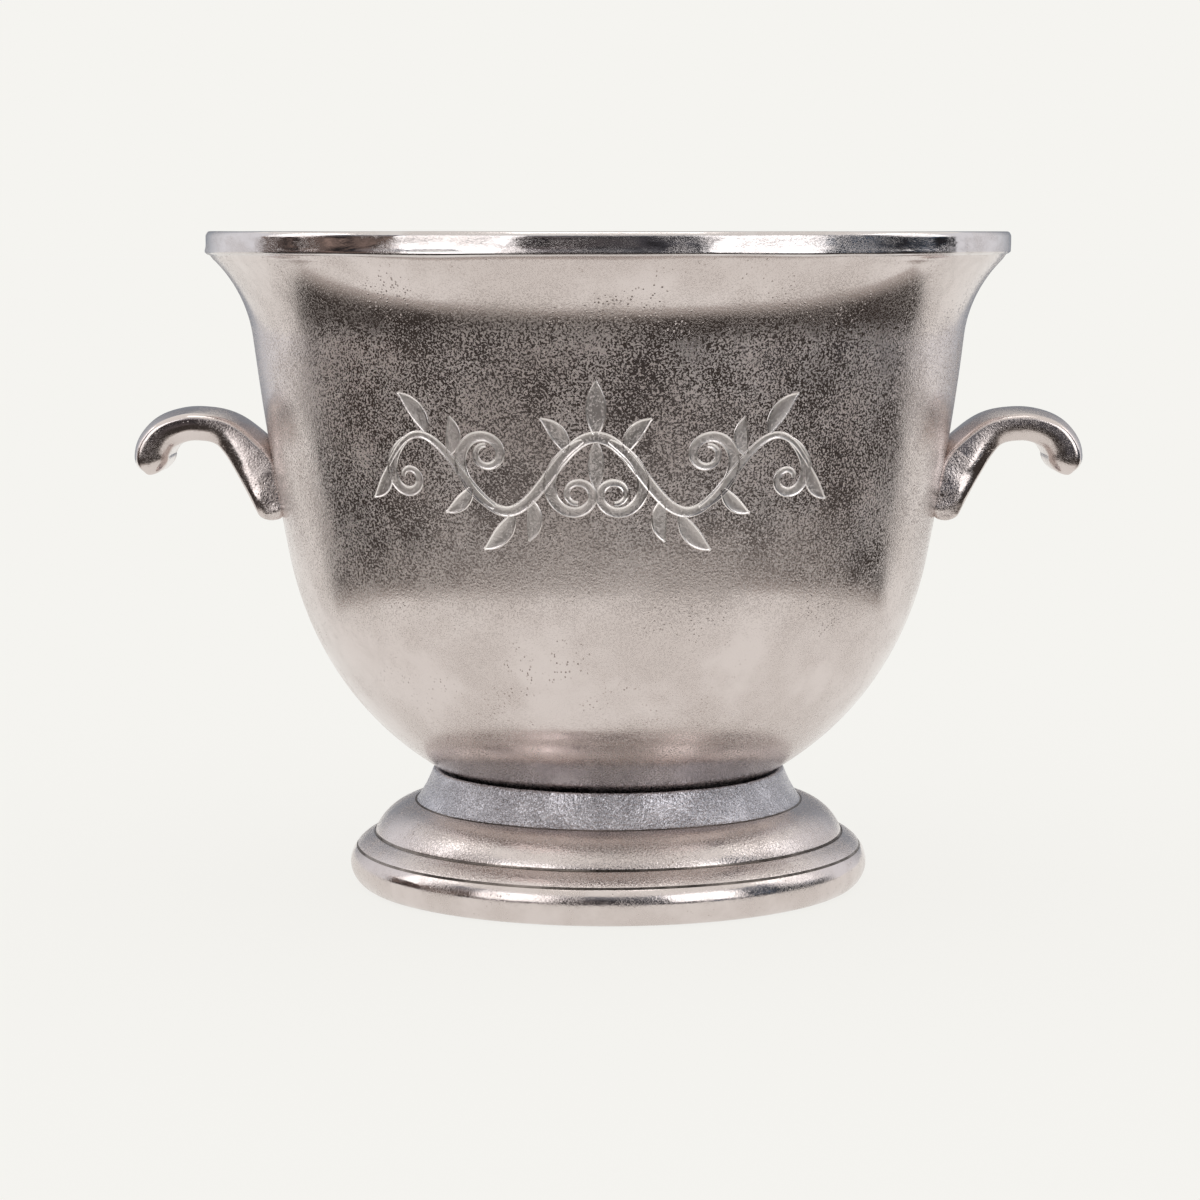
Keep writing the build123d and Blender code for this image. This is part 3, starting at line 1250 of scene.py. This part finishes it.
@dataclass
class ChasedScroll:
    """A running scroll of leaves and tendrils, chased into the bowl's front.

    It is the same on both sides of its middle. Its lines lie in (across, height)
    on the unrolled wall, and each is a matted bed between two bright raised edges.
    """

    centre: Flat = (-4.0, 163.0)
    half_length: float = 80.0
    swing: float = 13.0
    wavelength: float = 60.0
    half_width: float = 1.9
    tip_half_width: float = 0.75
    edge_lift: float = 0.28
    bed_lift: float = 0.05
    pitch: float = 0.8
    # Place as a share of the wavelength, turn, length, first and last radius of the bend.
    tendrils: tuple[tuple[float, ...], ...] = (
        (0.07, -1, 62, 36, 3.2),
        (0.57, 1, 62, 36, 3.2),
        (1.08, -1, 42, 24, 2.8),
    )
    # Place as a share of the wavelength, shift along and up, aim, length, bend, fullness.
    leaves: tuple[tuple[float, ...], ...] = (
        (0.16, 0, 1, 78, 15, -50, 2.6),
        (0.36, 0, -1, -108, 15, 50, 2.6),
        (0.50, -2, -1, -70, 17, 45, 2.9),
        (1.00, -3, 1, 75, 17, -45, 2.9),
        (0.82, 0, 1, 120, 14, -55, 2.5),
        (0.70, 0, -1, -65, 14, 50, 2.4),
        (1.22, 0, -1, -80, 15, 55, 2.5),
    )
    # Across each raised edge: distance in from the side, and share of the edge's lift.
    edge_profile: tuple[Flat, ...] = ((-0.30, -0.3), (-0.12, 0.4), (0.12, 1.0), (0.34, 0.4), (0.55, 0.0))
    middle_inset: float = 9.0

    def stem_height(self, along: float) -> float:
        """Height of the wavy stem at a distance from the scroll's middle."""
        return self.swing * cos(2 * pi * along / self.wavelength)

    def stem(self) -> Stroke:
        """The wavy stem of one half.

        Returns:
            Its stroke, relative to the scroll's middle.
        """
        along = np.arange(0, self.half_length - 6, self.pitch)
        middle = np.array([(a, self.stem_height(a)) for a in along])
        share = along / along[-1]
        halves = self.half_width + (self.tip_half_width - self.half_width) * share**2
        return Stroke(middle, halves)

    def tendril(self, along: float, turn: int, length: float, open_radius: float, eye: float) -> Stroke:
        """A branch that leaves the stem and winds up into a spiral.

        Args:
            along: Where it leaves the stem.
            turn: 1 winds anticlockwise and -1 clockwise.
            length: Length of its line.
            open_radius: Radius of its bend where it leaves.
            eye: Radius of its bend at the spiral's end.

        Returns:
            Its stroke.
        """
        slope = -self.swing * 2 * pi / self.wavelength * sin(2 * pi * along / self.wavelength)
        heading = atan2(slope, 1)
        spot = np.array([along, self.stem_height(along)])
        count = int(length / self.pitch)
        middle = [spot.copy()]
        for i in range(count):
            share = i / count
            bend = (1 / open_radius) * (1 - share**1.4) + (1 / eye) * share**1.4
            heading += turn * bend * self.pitch
            spot = spot + np.array([cos(heading), sin(heading)]) * self.pitch
            middle.append(spot.copy())
        share = np.arange(count + 1) / count
        halves = self.tip_half_width + (self.half_width - self.tip_half_width) * np.sin(pi * share**0.6)
        return Stroke(np.array(middle), np.maximum(halves, self.tip_half_width))

    def leaf(self, start: Flat, aim: float, length: float, bend: float, fullness: float) -> Stroke:
        """A pointed leaf.

        Args:
            start: Where it leaves the stem.
            aim: Its first direction in degrees, 90 being upwards.
            length: Length of its midrib.
            bend: Degrees that it turns along its length.
            fullness: Half of its greatest width.

        Returns:
            Its stroke.
        """
        count = int(length / self.pitch)
        spot = np.array(start, float)
        middle = [spot.copy()]
        for i in range(count):
            heading = radians(aim + bend * i / count)
            spot = spot + np.array([cos(heading), sin(heading)]) * self.pitch
            middle.append(spot.copy())
        share = np.arange(count + 1) / count
        halves = fullness * np.sin(pi * np.minimum(share * 0.92 + 0.08, 1)) ** 0.8
        return Stroke(np.array(middle), np.maximum(halves, 0.35))

    def half(self) -> list[Stroke]:
        """Every stroke of the right half.

        Returns:
            The stem, its tendrils and its leaves.
        """
        wave = self.wavelength
        tendrils = [self.tendril(wave * share, *bend) for share, *bend in self.tendrils]
        leaves = [
            self.leaf((wave * share + shift, self.stem_height(wave * share) + rise), *shape)
            for share, shift, rise, *shape in self.leaves
        ]
        return [self.stem(), *tendrils, *leaves]

    def middle_leaves(self) -> list[Stroke]:
        """The palmette at the scroll's middle."""
        top = (0.0, self.stem_height(0) + 1)
        return [self.leaf(top, 90, 19, 0, 3.2), self.leaf((0.0, top[1] - 3), -90, 17, 0, 2.6)]

    def strokes(self) -> list[Stroke]:
        """Every stroke of the whole scroll, the left half mirrored."""
        right = self.half()
        left = [Stroke(s.middle * np.array([-1, 1]), s.halves) for s in right]
        return right + left + self.middle_leaves()

    def ribbon(self, stroke: Stroke, bowl: Bowl) -> tuple[np.ndarray, list[list[int]], list[Coat]]:
        """Lays one stroke on the bowl as a closed ribbon.

        Args:
            stroke: The stroke.
            bowl: The bowl under it.

        Returns:
            Its points, its faces and the finish of each face.
        """
        middle = stroke.middle
        along = np.gradient(middle, axis=0)
        along /= np.linalg.norm(along, axis=1, keepdims=True)
        side = np.stack([-along[:, 1], along[:, 0]], axis=1)
        profile = [*self.edge_profile, (self.middle_inset, 0.0)]
        section = [(1, *p) for p in profile] + [(-1, *p) for p in reversed(profile[:-1])]
        rows = []
        for spot, across, half in zip(middle, side, stroke.halves):
            row = []
            for sign, inset, share in section:
                place = max(half - inset, 0.0) * sign if inset < self.middle_inset else 0.0
                lift = self.bed_lift + (self.edge_lift - self.bed_lift) * share
                point = np.array(self.centre) + spot + across * place
                row.append(bowl.surface(point[0], point[1], lift if share > -0.1 else -0.3))
            rows.append(row)
        count = len(rows[0])
        faces = grid_faces(len(rows), count, False, True).tolist()
        coats = []
        for _ in range(len(rows) - 1):
            for i in range(count):
                # The raised edges get the painted edge highlight; the bed between them is chased.
                edge = i < 4 or count - 5 <= i
                coats.append(Coat.EDGE_HIGHLIGHT if edge else Coat.CHASED)
        faces.append(list(range(count)))
        faces.append(list(range((len(rows) - 1) * count, len(rows) * count)))
        coats += [Coat.EDGE_HIGHLIGHT, Coat.EDGE_HIGHLIGHT]
        return np.array(rows).reshape(-1, 3), faces, coats

    def build(self, bowl: Bowl, finishes: Finishes) -> bpy.types.Object:
        """Builds the scroll on the bowl's front.

        Args:
            bowl: The bowl under it.
            finishes: The shared materials.

        Returns:
            The scroll.
        """
        points, faces, coats = [], [], []
        shift = 0
        for stroke in self.strokes():
            some, quads, their = self.ribbon(stroke, bowl)
            points.append(some)
            faces += [[n + shift for n in quad] for quad in quads]
            coats += their
            shift += len(some)
        piece = cast_piece("chased_scroll", np.concatenate(points), faces, np.array(coats), finishes, 60)
        settle(piece, "bowl_metal")
        return piece


@dataclass
class Fastenings:
    """The bolt, nut, screws and washers, which keep their CAD shape."""

    steel_nodes: tuple[str, ...] = ("foot_bolt", "foot_nut", "foot_washer", "handle_screws")
    rubber_nodes: tuple[str, ...] = ("bowl_seal_washer", "handle_screw_washers")

    def dress(self, nodes: dict[str, bpy.types.Object], finishes: Finishes) -> None:
        """Gives each node its real finish.

        Args:
            nodes: The CAD nodes by name.
            finishes: The shared materials.
        """
        for name in self.steel_nodes + self.rubber_nodes:
            finish = finishes.steel if name in self.steel_nodes else finishes.rubber
            for slot in nodes[name].material_slots:
                slot.material = finish
            log.info("%s: CAD shape, finish %s", name, finish.name)


@dataclass
class Studio:
    """A pale sweep lit softly from all round, with a dark room beyond its front.

    The dark room isn't seen directly. It is what the bright metal mirrors beyond
    the near part of the sweep, and it is what makes the metal look like metal.
    """

    paper: str = "#F5F4F0"
    floor_size: float = 60.0
    floor_glow: float = 0.87
    floor_albedo: float = 0.13
    dark: str = "#3B3633"
    near_edge: float = 0.335
    dark_from: float = 0.43
    dark_half_angle: float = 109.0
    room_radius: float = 1.6
    room_height: float = 1.25
    back_height: float = 1.1
    segments: int = 96
    camera_place: tuple[float, float, float] = (0.0, -1.27, 0.2455)
    camera_tilt: float = 83.7554
    camera_lens: float = 101.2
    camera_shift: float = -0.0071

    def mirror_only(self, card: bpy.types.Object) -> None:
        """Leaves a card to be seen in the metal and nowhere else."""
        card.visible_camera = False
        card.visible_diffuse = False
        card.visible_shadow = False
        card.visible_transmission = False

    def world(self) -> None:
        """Pale light from every side."""
        world = bpy.data.worlds.new("studio_light")
        world.use_nodes = True
        world.node_tree.nodes.clear()
        add = partial(add_node, world.node_tree)
        glow = add("Background", {"Color": linear(self.paper)})
        add("OutputWorld", {"Surface": glow})
        bpy.context.scene.world = world

    def floor(self) -> None:
        """The sweep: mostly its own light, so that its far edge melts away."""
        half = self.floor_size / 2
        ends = [(-half, -half, 0), (half, -half, 0), (half, half, 0), (-half, half, 0)]
        sweep = mesh_object("sweep", ends, [(0, 1, 2, 3)])
        material = empty_material("sweep_paper")
        add = partial(add_node, material.node_tree)
        pale = linear(self.paper)
        lit = add("Emission", {"Color": pale, "Strength": self.floor_glow})
        matt = add("BsdfDiffuse", {"Color": (self.floor_albedo,) * 3 + (1.0,)})
        both = add("AddShader", {0: lit, 1: matt})
        add("OutputMaterial", {"Surface": both})
        sweep.data.materials.append(material)

    def dark_floor(self) -> None:
        """The room's floor beyond the sweep's front edge, fading in."""
        rows = [self.near_edge, 0.6, 1.0, self.room_radius]
        points = []
        for radius in rows:
            for i in range(self.segments + 1):
                turn = radians(-90 + self.dark_half_angle * (2 * i / self.segments - 1))
                points.append((radius * cos(turn), radius * sin(turn), 0.001))
        faces = grid_faces(len(rows), self.segments + 1, False, False).tolist()
        card = mesh_object("room_floor", points, faces)
        material = empty_material("room_floor_dark")
        add = partial(add_node, material.node_tree)
        place = add("TexCoord").outputs["Object"]
        reach = add("VectorMath", {0: place}, operation="LENGTH").outputs["Value"]
        fade = add(
            "MapRange",
            {"Value": reach, "From Min": self.near_edge, "From Max": self.dark_from},
            interpolation_type="SMOOTHSTEP",
        )
        shade = add(
            "Mix", {0: fade, 6: linear("#B9B2AC"), 7: linear(self.dark)}, data_type="RGBA"
        ).outputs[2]
        glow = add("Emission", {"Color": shade, "Strength": 1.0})
        add("OutputMaterial", {"Surface": glow})
        card.data.materials.append(material)
        self.mirror_only(card)

    def wall(self, name: str, first: float, last: float, height: float, radius: float) -> bpy.types.Object:
        """A curved upright card round the bucket, seen only in the metal.

        Args:
            name: The card's name.
            first: Where it starts, in degrees round from the front to the right.
            last: Where it ends.
            height: Its height in metres.
            radius: Its distance from the bucket's middle in metres.

        Returns:
            The card, with no material yet.
        """
        points = []
        for level in (0.0, height):
            for i in range(self.segments + 1):
                turn = radians(first + (last - first) * i / self.segments - 90)
                points.append((radius * cos(turn), radius * sin(turn), level))
        card = mesh_object(name, points, grid_faces(2, self.segments + 1, False, False).tolist())
        self.mirror_only(card)
        return card

    def dark_room(self) -> None:
        """The room in front: dark and cluttered below, greyer above."""
        card = self.wall(
            "room_wall", -self.dark_half_angle, self.dark_half_angle, self.room_height, self.room_radius
        )
        material = empty_material("room_wall_dark")
        add = partial(add_node, material.node_tree)
        place = add("TexCoord").outputs["Object"]
        axes = add("SeparateXYZ", {0: place})
        clutter = add("TexNoise", {"Vector": place, "Scale": 3.2, "Detail": 5.0, "Roughness": 0.65})
        patch = add("MapRange", {"Value": clutter, "From Min": 0.46, "From Max": 0.66})
        across = add("MapRange", {"Value": axes.outputs["X"], "From Min": -1.3, "From Max": 1.3})
        tint = add(
            "Mix", {0: across, 6: linear("#A48E84"), 7: linear("#6F7F93")}, data_type="RGBA"
        ).outputs[2]
        mixed = add("Mix", {0: patch, 6: linear("#232224"), 7: tint}, data_type="RGBA").outputs[2]
        rise = add(
            "MapRange", {"Value": axes.outputs["Z"], "From Min": 0.45, "From Max": self.room_height}
        )
        shade = add("Mix", {0: rise, 6: mixed, 7: linear("#8B8F97")}, data_type="RGBA").outputs[2]
        glow = add("Emission", {"Color": shade})
        add("OutputMaterial", {"Surface": glow})
        card.data.materials.append(material)

    def grey_back(self) -> None:
        """The studio behind: cool white at the sides, middle grey straight behind."""
        first = self.dark_half_angle
        card = self.wall("studio_back", first, 360 - first, self.back_height, self.room_radius)
        material = empty_material("studio_back_grey")
        add = partial(add_node, material.node_tree)
        place = add("TexCoord").outputs["Object"]
        axes = add("SeparateXYZ", {0: place})
        aside = add("Math", {0: axes.outputs["X"]}, operation="ABSOLUTE")
        side = add(
            "MapRange",
            {"Value": aside, "From Min": 0.45, "From Max": 1.25},
            interpolation_type="SMOOTHSTEP",
        )
        shade = add(
            "Mix", {0: side, 6: linear("#8E9299"), 7: linear("#EDEEF2")}, data_type="RGBA"
        ).outputs[2]
        glow = add("Emission", {"Color": shade})
        add("OutputMaterial", {"Surface": glow})
        card.data.materials.append(material)

    def softbox(self, name: str, turn: float, rise: float, reach: float, size: Flat, glow: float) -> None:
        """A soft rectangular light aimed at the bucket.

        Args:
            name: The light's name.
            turn: Degrees round from the front, to the right.
            rise: Degrees above the floor.
            reach: Metres from the bucket's middle.
            size: Width and height in metres.
            glow: Its brightness beside that of the paper.
        """
        data = bpy.data.lights.new(name, "AREA")
        data.shape = "RECTANGLE"
        data.size, data.size_y = size
        data.energy = glow * pi * size[0] * size[1]
        light = bpy.data.objects.new(name, data)
        a, e = radians(turn), radians(rise)
        back = Vector((sin(a) * cos(e), -cos(a) * cos(e), sin(e)))
        light.location = Vector((0, 0, 0.12)) + back * reach
        light.rotation_mode = "QUATERNION"
        light.rotation_quaternion = (-back).to_track_quat("-Z", "Y")
        light.visible_camera = False
        light.visible_diffuse = False
        bpy.context.scene.collection.objects.link(light)

    def lights(self) -> None:
        """Two softboxes in front, one at each side and one overhead."""
        self.softbox("left_softbox", -41, 17, 1.40, (0.85, 0.80), 1.7)
        self.softbox("right_softbox", 43, 17, 1.40, (0.85, 0.80), 1.9)
        self.softbox("left_side_softbox", -97, 26, 1.40, (0.50, 0.80), 1.5)
        self.softbox("right_side_softbox", 97, 26, 1.40, (0.50, 0.80), 1.5)
        self.softbox("overhead_softbox", 0, 78, 1.6, (1.0, 0.6), 1.5)

    def camera(self) -> None:
        """The camera, level with the lip and looking slightly down."""
        data = bpy.data.cameras.new("camera")
        data.lens = self.camera_lens
        data.sensor_width = 36.0
        data.shift_x = self.camera_shift
        camera = bpy.data.objects.new("camera", data)
        camera.location = self.camera_place
        camera.rotation_euler = (radians(self.camera_tilt), 0.0, 0.0)
        bpy.context.scene.collection.objects.link(camera)
        bpy.context.scene.camera = camera

    def build(self) -> None:
        """Sets up the whole studio."""
        bpy.context.scene.view_settings.view_transform = "Standard"
        self.world()
        self.floor()
        self.dark_floor()
        self.dark_room()
        self.grey_back()
        self.lights()
        self.camera()
        log.info("studio: sweep, room cards, five softboxes and camera")


def corners(box: tuple[Vector, Vector]) -> list[list[float]]:
    """A box's two corners as plain lists of numbers."""
    return [[float(x) for x in corner] for corner in box]


def main() -> None:
    """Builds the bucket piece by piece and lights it."""
    logging.basicConfig(level=logging.INFO, format="%(name)s: %(message)s")
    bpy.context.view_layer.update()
    finishes = Finishes()
    bowl = Bowl()
    bowl.build(finishes)
    Foot().build(finishes)
    for side in Side:
        HookHandle(side).build(bowl, finishes)
    ChasedScroll().build(bowl, finishes)
    Fastenings().dress(frame["nodes"], finishes)
    Studio().build()


if __name__ == "__main__":
    main()
